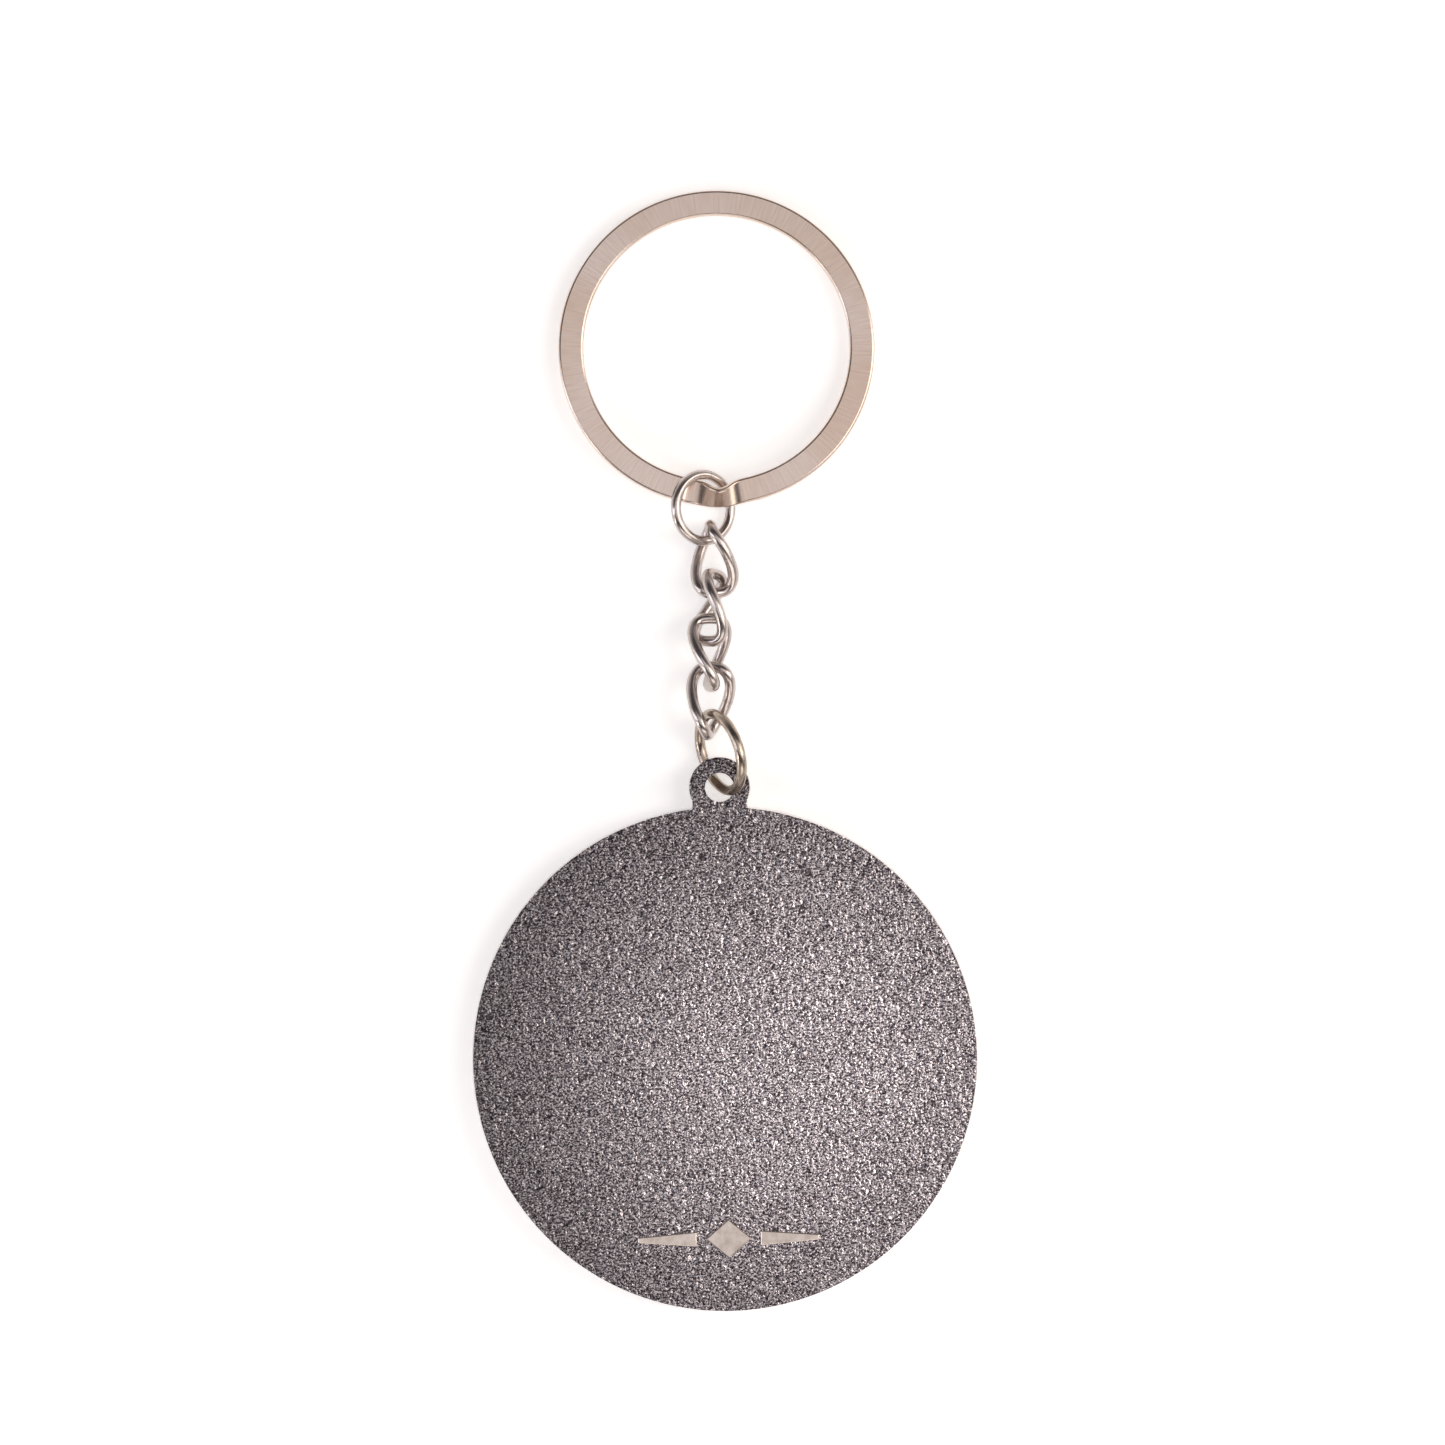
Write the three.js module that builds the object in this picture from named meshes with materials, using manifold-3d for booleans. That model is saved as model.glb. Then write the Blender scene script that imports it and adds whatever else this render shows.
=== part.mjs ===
// Keychain: a split ring, a jump ring, four twisted chain links, a second jump ring and a
// die-cast medallion that hangs from its drilled tab. It lies on its face: +Z is up, +Y runs
// from the medallion to the split ring, and the origin is the centre of the medallion's
// lower face. All sizes are in millimetres and all angles in degrees.
import * as THREE from 'three';
import { mergeVertices } from 'three/addons/utils/BufferGeometryUtils.js';
import Module from 'manifold-3d';

// Medallion: disc, tab, and the two enamel fillings let into its lower face.
const DISC_DIAMETER = 50.8;
const DISC_THICKNESS = 3;
const DISC_EDGE_ROUNDING = 0.25;
const TAB_OUTER_DIAMETER = 6.2;
const TAB_HOLE_DIAMETER = 2.9;
const TAB_THICKNESS = 1.3;
const TAB_HOLE_BEYOND_EDGE = 1.85;
const TAB_NECK_WIDTH = 5.7;
const RIM_WIDTH = 1.8;
const LINE_WIDTH = 0.8;
const BORDER_WIDTH = 4.6;
const ENAMEL_DEPTH = 0.9;
const ENAMEL_CLEARANCE = 0.03;

// Raised ornament on the medallion's upper face: a lozenge between two tapered bars.
const ORNAMENT_HEIGHT = 0.25;
const ORNAMENT_FROM_CENTRE = 18;
const LOZENGE_LENGTH = 4.6;
const LOZENGE_BREADTH = 3.9;
const BAR_LENGTH = 5.9;
const BAR_BREADTH = 1.5;
const BAR_TIP_BREADTH = 0.55;
const BAR_GAP = 0.9;

// Jump rings: round wire bent into a circle.
const BOTTOM_RING_DIAMETER = 9;
const BOTTOM_RING_WIRE = 1.07;
const TOP_RING_DIAMETER = 7.7;
const TOP_RING_WIRE = 1.03;

// Chain links: round wire bent into a long loop and twisted about its length.
const LINK_LENGTH = 8;
const LINK_WIDTH = 5.15;
const LINK_WIRE = 1.15;
const LINK_TWIST = -106;
const LINK_FULLNESS = 3;

// Split ring: one flat strip in two laps, stepping from the upper lap to the lower.
const SPLIT_RING_DIAMETER = 31.75;
const BAND_WIDTH = 2.5;
const LAP_THICKNESS = 0.65;
const LAP_GAP = 0.05;
const STEP_ANGLE = 24.8;
const STEP_ROLL = -50;

// How the pieces lie. turn is about Z, lift tips the far end up, roll is about the piece's
// own length. near and far are where the wires of the neighbours touch, in degrees round
// the loop from its two ends. slack is the play left between those wires. RING_IN_HOLE_ASIDE
// and _BACK are shares of the wire's play in the tab's hole.
const BOTTOM_RING_POSE = { turn: 7, lift: 15.5, roll: -61, near: -8, far: 34 };
const LINK_4_POSE = { turn: -4.5, lift: 2, roll: -150, near: 5, far: 3, slack: 0.7 };
const LINK_3_POSE = { turn: 1, lift: 0, roll: -124, near: 13, far: 0, slack: 0.85 };
const LINK_2_POSE = { turn: -8, lift: -8, roll: -76, near: 3, far: 5, slack: 1.15 };
const LINK_1_POSE = { turn: 4, lift: 1.5, roll: -39, near: -1, far: 5, slack: 0.7 };
const TOP_RING_POSE = { turn: 2.5, lift: 1.5, roll: 35, near: 16, far: 0, slack: 0.35 };
const RING_IN_HOLE_ASIDE = 0.4044;
const RING_IN_HOLE_BACK = -0.1311;
const RING_IN_HOLE_SINK = 0.47;
const SPLIT_RING_ASIDE = 1.8;
const SPLIT_RING_SLACK = 0.15;
const SPLIT_RING_TILT = -3.1;

// Fineness of the curved surfaces.
const DISC_SEGMENTS = 120;
const TAB_SEGMENTS = 48;
const WIRE_SIDES = 12;
const LOOP_SEGMENTS = 64;
const STRIP_SEGMENTS = 240;
const ROUNDING_STEPS = 3;
const CUT_MARGIN = 1;

const wasm = await Module();
wasm.setup();

const radians = THREE.MathUtils.degToRad;

const nickelWire = { color: 0xbdb3ab, roughness: 0.22, metalness: 1 };
const nickelBand = { color: 0xbfada3, roughness: 0.3, metalness: 1 };
const castMetal = { color: 0x9c9396, roughness: 0.5, metalness: 1 };
const darkEnamel = { color: 0x22304a, roughness: 0.15, metalness: 0 };
const paleEnamel = { color: 0xd8d2c4, roughness: 0.15, metalness: 0 };

function namedMesh(name, geometry, look) {
  const mesh = new THREE.Mesh(geometry, new THREE.MeshStandardMaterial(look));
  mesh.name = name;
  return mesh;
}

// Booleans: a three.js geometry goes in as a solid and comes back as a geometry.
function toSolid(geometry) {
  const bare = geometry.clone();
  bare.deleteAttribute('normal');
  bare.deleteAttribute('uv');
  const merged = mergeVertices(bare);
  return new wasm.Manifold(
    new wasm.Mesh({
      numProp: 3,
      vertProperties: new Float32Array(merged.attributes.position.array),
      triVerts: new Uint32Array(merged.index.array),
    }),
  );
}

function toGeometry(solid) {
  const mesh = solid.getMesh();
  const geometry = new THREE.BufferGeometry();
  geometry.setAttribute('position', new THREE.BufferAttribute(mesh.vertProperties, 3));
  geometry.setIndex(new THREE.BufferAttribute(mesh.triVerts, 1));
  const flat = geometry.toNonIndexed();
  flat.computeVertexNormals();
  return flat;
}

// A plate or a post along Z, from one height up to another.
function upright(shape, from, to) {
  const settings = { depth: to - from, bevelEnabled: false, curveSegments: TAB_SEGMENTS / 2 };
  const geometry = new THREE.ExtrudeGeometry(shape, settings);
  geometry.translate(0, 0, from);
  return geometry;
}

function outline(points) {
  const shape = new THREE.Shape();
  shape.moveTo(points[0][0], points[0][1]);
  points.slice(1).forEach(([x, y]) => shape.lineTo(x, y));
  shape.closePath();
  return shape;
}

// A turned solid about Z. The profile runs from its lowest point round to its highest.
function turned(profile) {
  const points = profile.map(([radius, height]) => new THREE.Vector2(radius, height));
  const geometry = new THREE.LatheGeometry(points, DISC_SEGMENTS);
  geometry.rotateX(Math.PI / 2);
  return geometry;
}

// A flat ring or disc about Z, as a turned solid.
function washer(innerRadius, outerRadius, from, to) {
  const profile = [
    [innerRadius, from],
    [outerRadius, from],
    [outerRadius, to],
    [innerRadius, to],
  ];
  if (innerRadius > 0) {
    profile.push([innerRadius, from]);
  }
  return turned(profile);
}

// ---- medallion ----
const discRadius = DISC_DIAMETER / 2;
const tabHoleY = discRadius + TAB_HOLE_BEYOND_EDGE;
const rimInner = discRadius - RIM_WIDTH;
const lineOuter = rimInner - BORDER_WIDTH;
const lineInner = lineOuter - LINE_WIDTH;

function discGeometry() {
  const profile = [[0, 0]];
  const corners = [
    { height: DISC_EDGE_ROUNDING, start: -90 },
    { height: DISC_THICKNESS - DISC_EDGE_ROUNDING, start: 0 },
  ];
  corners.forEach(({ height, start }) => {
    for (let step = 0; step <= ROUNDING_STEPS; step += 1) {
      const angle = radians(start + (90 * step) / ROUNDING_STEPS);
      const radius = discRadius - DISC_EDGE_ROUNDING + DISC_EDGE_ROUNDING * Math.cos(angle);
      profile.push([radius, height + DISC_EDGE_ROUNDING * Math.sin(angle)]);
    }
  });
  profile.push([0, DISC_THICKNESS]);
  return turned(profile);
}

// The tab is level with the upper face and thinner than the disc, so the jump ring's wire
// fits under it while the medallion lies flat.
function tabSolid() {
  const underside = DISC_THICKNESS - TAB_THICKNESS;
  const eye = new THREE.Shape().absarc(0, tabHoleY, TAB_OUTER_DIAMETER / 2, 0, 2 * Math.PI);
  const half = TAB_NECK_WIDTH / 2;
  const neckFoot = discRadius - TAB_OUTER_DIAMETER / 2;
  const neck = outline([
    [-half, neckFoot],
    [half, neckFoot],
    [half, tabHoleY - half / 2],
    [-half, tabHoleY - half / 2],
  ]);
  return toSolid(upright(eye, underside, DISC_THICKNESS))
    .add(toSolid(upright(neck, underside, DISC_THICKNESS)));
}

// The ornament starts inside the disc so that it is one body with it.
function ornamentSolid() {
  const from = DISC_THICKNESS - ORNAMENT_HEIGHT;
  const to = DISC_THICKNESS + ORNAMENT_HEIGHT;
  const y = -ORNAMENT_FROM_CENTRE;
  const lozenge = outline([
    [-LOZENGE_LENGTH / 2, y],
    [0, y - LOZENGE_BREADTH / 2],
    [LOZENGE_LENGTH / 2, y],
    [0, y + LOZENGE_BREADTH / 2],
  ]);
  let solid = toSolid(upright(lozenge, from, to));
  [-1, 1].forEach((side) => {
    const near = side * (LOZENGE_LENGTH / 2 + BAR_GAP);
    const far = near + side * BAR_LENGTH;
    const corners = [
      [near, y - BAR_BREADTH / 2],
      [far, y - BAR_TIP_BREADTH / 2],
      [far, y + BAR_TIP_BREADTH / 2],
      [near, y + BAR_BREADTH / 2],
    ];
    const bar = outline(side > 0 ? corners : corners.reverse());
    solid = solid.add(toSolid(upright(bar, from, to)));
  });
  return solid;
}

function medallionGeometry() {
  const hole = new THREE.Shape().absarc(0, tabHoleY, TAB_HOLE_DIAMETER / 2, 0, 2 * Math.PI);
  const pocketFloor = ENAMEL_DEPTH;
  const solid = toSolid(discGeometry())
    .add(tabSolid())
    .add(ornamentSolid())
    .subtract(toSolid(upright(hole, -CUT_MARGIN, DISC_THICKNESS + CUT_MARGIN)))
    .subtract(toSolid(washer(lineOuter, rimInner, -CUT_MARGIN, pocketFloor)))
    .subtract(toSolid(washer(0, lineInner, -CUT_MARGIN, pocketFloor)));
  return toGeometry(solid);
}

// Each enamel filling is level with the rim below and clear of its pocket all round.
const enamelTop = ENAMEL_DEPTH - ENAMEL_CLEARANCE;
const borderInner = lineOuter + ENAMEL_CLEARANCE;
const borderOuter = rimInner - ENAMEL_CLEARANCE;
const fieldOuter = lineInner - ENAMEL_CLEARANCE;

// ---- wire loops ----
// The centre line of a loop: length along Y, width along X, twisted about Y, and fuller at
// the shoulders than an ellipse when fullness is above 2.
class LoopCurve extends THREE.Curve {
  constructor(length, width, twist = 0, fullness = 2) {
    super();
    this.length = length;
    this.width = width;
    this.twist = twist;
    this.fullness = fullness;
  }

  twistAt(y) {
    return radians((this.twist * y) / this.length);
  }

  getPoint(fraction, target = new THREE.Vector3()) {
    const angle = 2 * Math.PI * fraction;
    const across = Math.abs(Math.cos(angle)) ** this.fullness;
    const along = Math.abs(Math.sin(angle)) ** this.fullness;
    const reach = (across + along) ** (-1 / this.fullness);
    const x = (this.width / 2) * Math.cos(angle) * reach;
    const y = (this.length / 2) * Math.sin(angle) * reach;
    const turn = this.twistAt(y);
    return target.set(x * Math.cos(turn), y, -x * Math.sin(turn));
  }

  // The frame round the wire at a point: along it, outwards, and across the loop.
  frameAt(fraction) {
    const reach = 1e-4;
    const ahead = this.getPoint(fraction + reach);
    const along = ahead.sub(this.getPoint(fraction - reach)).normalize();
    const point = this.getPoint(fraction);
    const turn = this.twistAt(point.y);
    const face = new THREE.Vector3(Math.sin(turn), 0, Math.cos(turn));
    const outward = along.clone().cross(face).normalize();
    const over = outward.clone().cross(along);
    return { point, along, outward, over };
  }
}

// A torus carried vertex by vertex onto the loop's centre line.
function loopGeometry(curve, wire) {
  const geometry = new THREE.TorusGeometry(1, 1 / 2, WIRE_SIDES, LOOP_SEGMENTS);
  const vertices = geometry.attributes.position;
  for (let i = 0; i < vertices.count; i += 1) {
    const x = vertices.getX(i);
    const y = vertices.getY(i);
    const { point, outward, over } = curve.frameAt(Math.atan2(y, x) / (2 * Math.PI));
    point.addScaledVector(outward, (Math.hypot(x, y) - 1) * wire);
    point.addScaledVector(over, vertices.getZ(i) * wire);
    vertices.setXYZ(i, point.x, point.y, point.z);
  }
  geometry.computeVertexNormals();
  return geometry;
}

function wireLoop(name, curve, wire, pose) {
  const mesh = namedMesh(name, loopGeometry(curve, wire), nickelWire);
  mesh.rotation.set(radians(pose.lift), radians(pose.roll), radians(pose.turn), 'ZXY');
  const touchPoint = (angle) => {
    return curve.getPoint(angle / 360).applyEuler(mesh.rotation);
  };
  return { mesh, wire, near: touchPoint(-90 + pose.near), far: touchPoint(90 + pose.far), slack: pose.slack };
}

function roundWire(outerDiameter, wire) {
  return new LoopCurve(outerDiameter - wire, outerDiameter - wire);
}

const linkCurve = new LoopCurve(
  LINK_LENGTH - LINK_WIRE,
  LINK_WIDTH - LINK_WIRE,
  LINK_TWIST,
  LINK_FULLNESS,
);
const bottomRing = wireLoop(
  'bottom_jump_ring',
  roundWire(BOTTOM_RING_DIAMETER, BOTTOM_RING_WIRE),
  BOTTOM_RING_WIRE,
  BOTTOM_RING_POSE,
);
const link4 = wireLoop('chain_link_4', linkCurve, LINK_WIRE, LINK_4_POSE);
const link3 = wireLoop('chain_link_3', linkCurve, LINK_WIRE, LINK_3_POSE);
const link2 = wireLoop('chain_link_2', linkCurve, LINK_WIRE, LINK_2_POSE);
const link1 = wireLoop('chain_link_1', linkCurve, LINK_WIRE, LINK_1_POSE);
const topRing = wireLoop(
  'top_jump_ring',
  roundWire(TOP_RING_DIAMETER, TOP_RING_WIRE),
  TOP_RING_WIRE,
  TOP_RING_POSE,
);

// The first loop's wire passes through the tab's hole; each next one hooks the one before.
const playInHole = (TAB_HOLE_DIAMETER - BOTTOM_RING_WIRE) / 2;
const inHole = new THREE.Vector3(
  RING_IN_HOLE_ASIDE * playInHole,
  tabHoleY + RING_IN_HOLE_BACK * playInHole,
  DISC_THICKNESS - RING_IN_HOLE_SINK,
);
bottomRing.mesh.position.copy(inHole).sub(bottomRing.near);

function hook(loop, onto) {
  const inward = onto.far.clone().normalize().negate();
  const outward = loop.near.clone().normalize();
  const pull = inward.add(outward).normalize();
  const reach = (onto.wire + loop.wire) / 2 + loop.slack;
  const held = onto.mesh.position.clone().add(onto.far).addScaledVector(pull, reach);
  loop.mesh.position.copy(held).sub(loop.near);
}

const loops = [bottomRing, link4, link3, link2, link1, topRing];
loops.slice(1).forEach((loop, i) => hook(loop, loops[i]));

// ---- split ring ----
// A straight strip carried onto its two laps. Clockwise from above, the upper lap starts
// beside the step, and the lower lap ends under the step's other side. The strip rolls
// about its outer edge as it steps down.
function splitRingGeometry() {
  const strip = new THREE.BoxGeometry(BAND_WIDTH, 1, LAP_THICKNESS, 1, STRIP_SEGMENTS, 1);
  const vertices = strip.attributes.position;
  const middleRadius = (SPLIT_RING_DIAMETER - BAND_WIDTH) / 2;
  const halfStep = STEP_ANGLE / 2;
  const sweep = 720 - STEP_ANGLE;
  const rise = (LAP_THICKNESS + LAP_GAP) / 2;
  for (let i = 0; i < vertices.count; i += 1) {
    const across = vertices.getX(i);
    const over = vertices.getZ(i);
    const travel = sweep * (1 / 2 - vertices.getY(i));
    const beforeStep = THREE.MathUtils.clamp((sweep / 2 - travel) / halfStep, -1, 1);
    const phase = (Math.PI / 2) * beforeStep;
    const roll = radians(STEP_ROLL) * Math.cos(phase) ** 2;
    const holdOuterEdge = (BAND_WIDTH / 2) * (1 - Math.cos(roll));
    const radius = middleRadius + holdOuterEdge + across * Math.cos(roll) - over * Math.sin(roll);
    const height = rise * Math.sin(phase) + across * Math.sin(roll) + over * Math.cos(roll);
    const clockwise = radians(halfStep + travel);
    vertices.setXYZ(i, -radius * Math.sin(clockwise), -radius * Math.cos(clockwise), height);
  }
  strip.computeVertexNormals();
  return strip;
}

const splitRing = namedMesh('split_ring', splitRingGeometry(), nickelBand);
const tilt = radians(SPLIT_RING_TILT);
const stackHeight = 2 * LAP_THICKNESS + LAP_GAP;
const ringCentreHeight =
  (SPLIT_RING_DIAMETER / 2) * Math.abs(Math.sin(tilt)) + (stackHeight / 2) * Math.cos(tilt);
const topWire = topRing.mesh.position.clone().add(topRing.far);
const innerEdge = topWire.y - TOP_RING_WIRE / 2 - SPLIT_RING_SLACK;
splitRing.rotation.x = tilt;
splitRing.position.set(
  topWire.x + SPLIT_RING_ASIDE,
  innerEdge + SPLIT_RING_DIAMETER / 2 - BAND_WIDTH,
  ringCentreHeight,
);

const keychain = new THREE.Group();
keychain.name = 'keychain';
keychain.add(namedMesh('medallion', medallionGeometry(), castMetal));
keychain.add(namedMesh('enamel_border', washer(borderInner, borderOuter, 0, enamelTop), darkEnamel));
keychain.add(namedMesh('enamel_field', washer(0, fieldOuter, 0, enamelTop), paleEnamel));
loops.forEach((loop) => keychain.add(loop.mesh));
keychain.add(splitRing);

export default keychain;
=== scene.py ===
# %% [markdown]
# # A keychain with a cast medallion
#
# The object is a short run of nickel-plated wire loops between a flat split ring and a
# die-cast medallion. It lies on a pale table with the medallion's textured back up.
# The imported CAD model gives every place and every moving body. This script adds the
# looks: smooth wire, a strip with softened edges, and a casting with a real relief.

import math

import bmesh
import bpy
from mathutils import Euler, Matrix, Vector, noise


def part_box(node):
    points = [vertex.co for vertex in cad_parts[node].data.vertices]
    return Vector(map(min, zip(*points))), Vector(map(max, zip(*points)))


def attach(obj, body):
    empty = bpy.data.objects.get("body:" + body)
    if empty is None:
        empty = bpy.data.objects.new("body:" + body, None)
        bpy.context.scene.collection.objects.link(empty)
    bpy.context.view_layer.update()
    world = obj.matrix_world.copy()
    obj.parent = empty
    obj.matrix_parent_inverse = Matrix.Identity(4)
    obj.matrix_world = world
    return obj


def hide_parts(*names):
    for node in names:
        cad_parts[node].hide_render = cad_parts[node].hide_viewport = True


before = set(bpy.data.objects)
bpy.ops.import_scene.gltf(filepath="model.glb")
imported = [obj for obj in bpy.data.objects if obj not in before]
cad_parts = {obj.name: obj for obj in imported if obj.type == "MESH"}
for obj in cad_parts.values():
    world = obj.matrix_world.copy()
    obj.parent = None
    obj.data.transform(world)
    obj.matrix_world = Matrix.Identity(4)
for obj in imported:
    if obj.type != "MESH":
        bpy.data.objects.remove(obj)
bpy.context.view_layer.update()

# %% [markdown]
# ## Helpers
#
# Blender works in metres and linear colour. Sizes here are written in millimetres and
# colours as hex values, the way a maker reads them off a drawing or a swatch card.

# %% Units and colours
MM = 0.001


def linear(hex_colour):
    """A hex colour, such as 8a8f94, as linear RGBA."""
    channels = [int(hex_colour[i : i + 2], 16) / 255 for i in (0, 2, 4)]
    lit = [c / 12.92 if c <= 0.04045 else ((c + 0.055) / 1.055) ** 2.4 for c in channels]
    return (*lit, 1.0)


def grey(level):
    """A plain number as a colour, for a ramp whose result isn't a colour."""
    return (level, level, level, 1.0)


print("steel grey in linear light:", [round(c, 3) for c in linear("8a8f94")])


# %% One function that adds a node
def node(tree, kind, settings=None, links=None, stops=()):
    """Adds a node, sets its properties and inputs, and links sockets into it. stops is
    a list of (position, colour) for a colour ramp."""
    made = tree.nodes.new(kind)
    for key, value in (settings or {}).items():
        if isinstance(key, int) or key in made.inputs:
            made.inputs[key].default_value = value
        else:
            setattr(made, key, value)
    for key, socket in (links or {}).items():
        tree.links.new(socket, made.inputs[key])
    if stops:
        elements = made.color_ramp.elements
        elements[0].position, elements[0].color = stops[0]
        elements[1].position, elements[1].color = stops[-1]
        for position, colour in stops[1:-1]:
            elements.new(position).color = colour
    return made


def new_material(name, **shader):
    """A material with its shader's plain values set. Returns it, its tree and shader."""
    material = bpy.data.materials.new(name)
    material.use_nodes = True
    principled = material.node_tree.nodes["Principled BSDF"]
    for key, value in shader.items():
        principled.inputs[key.replace("_", " ")].default_value = value
    return material, material.node_tree, principled


def place_in_mm(tree):
    """Object coordinates in millimetres, so that a pattern's scale is periods per mm."""
    coordinates = node(tree, "ShaderNodeTexCoord")
    return node(
        tree,
        "ShaderNodeMapping",
        {"Scale": (1 / MM, 1 / MM, 1 / MM)},
        {"Vector": coordinates.outputs["Object"]},
    ).outputs["Vector"]


# %% [markdown]
# ## The table, the lights and the camera
#
# A plated surface shows its surroundings more than its own colour. A pale table, a dim
# ceiling and two long soft lights at the sides give flat faces an even mid tone, and
# give every wire a bright line with a darker flank.

# %% Table
TABLE_HALF_WIDTH = 2
HAIR_BELOW = 0.02

bm = bmesh.new()
bmesh.ops.create_grid(bm, x_segments=1, y_segments=1, size=TABLE_HALF_WIDTH)
table_mesh = bpy.data.meshes.new("table")
bm.to_mesh(table_mesh)
bm.free()
table = bpy.data.objects.new("table", table_mesh)
table.location.z = -HAIR_BELOW * MM
bpy.context.collection.objects.link(table)
print("table", 2 * TABLE_HALF_WIDTH, "m wide,", HAIR_BELOW, "mm below the medallion")

# %% [markdown]
# ### Lights
#
# Area lights stand in for soft boxes. The ones at the sides are long, so that a wire shows
# an unbroken line of light. A low one catches the split ring's rounded edge, and a small
# near one brightens the disc's right side.

# %% Lights
LIGHTS = {
    # name: (place in m, size in m, watts, colour)
    "soft_right": ((0.90, 0.15, 0.75), (0.5, 1.1), 4.6, "fff6ec"),
    "soft_left": ((-0.95, -0.10, 0.60), (0.3, 1.1), 2.6, "f2f4ff"),
    "soft_front": ((0.10, -0.95, 0.70), (1.1, 0.4), 2.8, "fff8f2"),
    "soft_top": ((0.10, 0.03, 1.00), (0.72, 0.92), 1.75, "fffafa"),
    "low_left": ((-0.60, -0.30, 0.24), (0.06, 0.4), 0.5, "fffaf6"),
    "near_right": ((0.125, 0.0, 0.14), (0.06, 0.12), 0.05, "fff8f4"),
}
OBJECT_MIDDLE = Vector((0, 0.033, 0))

for name, (place, size, watts, colour) in LIGHTS.items():
    lamp = bpy.data.lights.new(name, "AREA")
    lamp.shape = "RECTANGLE"
    lamp.size, lamp.size_y = size
    lamp.energy = watts
    lamp.color = linear(colour)[:3]
    holder = bpy.data.objects.new(name, lamp)
    holder.location = place
    holder.rotation_euler = (Vector(place) - OBJECT_MIDDLE).to_track_quat("Z", "Y").to_euler()
    bpy.context.collection.objects.link(holder)
print(len(LIGHTS), "soft lights")

# %% [markdown]
# ### Studio walls
#
# The room is a plain glow in three tones. It is pale near the horizon, and dark on the
# ceiling between the lamps, which gives every wire its darker flank.

# %% Studio walls
world = bpy.data.worlds.new("studio_walls")
world.use_nodes = True
tree = world.node_tree
direction = node(tree, "ShaderNodeTexCoord").outputs["Generated"]
height = node(tree, "ShaderNodeSeparateXYZ", links={"Vector": direction}).outputs["Z"]
walls = node(
    tree,
    "ShaderNodeValToRGB",
    links={"Fac": height},
    stops=[(0.0, linear("d2cbc8")), (0.35, linear("b4aeac")), (0.62, linear("484549"))],
)
tree.links.new(walls.outputs["Color"], tree.nodes["Background"].inputs["Color"])
bpy.context.scene.world = world
bpy.context.scene.view_settings.view_transform = "Standard"
print("walls have", len(walls.color_ramp.elements), "tones from horizon to ceiling")

# %% [markdown]
# ### Camera
#
# It looks straight down from arm's length, turned a little so that the tab leans left. The
# lens follows from the width it has to show at the height of the disc's upper face.

# %% Camera
VIEW_WIDTH = 144.9 * MM
VIEW_CENTRE = (0.44 * MM, 33.75 * MM)
CAMERA_HEIGHT = 0.70
CAMERA_ROLL = math.radians(-1.18)
SENSOR_WIDTH = 36
DISC_THICKNESS = 3.0

camera_data = bpy.data.cameras.new("camera")
camera_data.sensor_width = SENSOR_WIDTH
camera_data.lens = SENSOR_WIDTH * CAMERA_HEIGHT / VIEW_WIDTH
camera = bpy.data.objects.new("camera", camera_data)
camera.location = (*VIEW_CENTRE, DISC_THICKNESS * MM + CAMERA_HEIGHT)
camera.rotation_euler = (0, 0, CAMERA_ROLL)
bpy.context.collection.objects.link(camera)
bpy.context.scene.camera = camera
print("lens", round(camera_data.lens, 1), "mm")

# %% [markdown]
# ## Materials
#
# Each one starts from what the real surface is. Nickel plate is a warm grey metal. How
# it shines depends on what it was plated over: drawn wire, rolled strip, or the rough
# skin of a casting.
#
# ### Table sheet
#
# Product tables use a frosted plastic sheet lit from below to lose the shadows. A little
# emission does the same here, and a faint grain keeps the sheet from being dead flat.

# %% Frosted sheet
SHEET_GRAINS_PER_MM = 0.9
sheet, tree, shader = new_material("frosted_white_sheet_lit_from_below", Roughness=0.9)
shader.inputs["Emission Color"].default_value = linear("fffefd")
shader.inputs["Emission Strength"].default_value = 0.42
grains = node(
    tree,
    "ShaderNodeTexNoise",
    {"Scale": SHEET_GRAINS_PER_MM, "Detail": 2.0},
    {"Vector": place_in_mm(tree)},
)
tint = node(
    tree,
    "ShaderNodeValToRGB",
    links={"Fac": grains.outputs["Fac"]},
    stops=[(0.3, linear("f9f9f8")), (0.7, linear("fdfdfc"))],
)
tree.links.new(tint.outputs["Color"], shader.inputs["Base Color"])
table.data.materials.append(sheet)
print("sheet grain", round(1 / SHEET_GRAINS_PER_MM, 2), "mm")

# %% [markdown]
# ### Nickel-plated drawn wire
#
# The loops are steel wire, plated in a tumbling barrel. That leaves a soft bright skin
# that is duller in cloudy patches, with tiny dents where the loops knocked together. Two
# noises give this: a broad one for tone and gloss, and a finer one for the dents. The
# bottom ring comes from another batch with a thinner plate, so it is darker and warmer.

# %% Wire
CLOUDS_PER_MM = 0.9
DENTS_PER_MM = 3.5
DENT_DEPTH = 0.02


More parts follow.
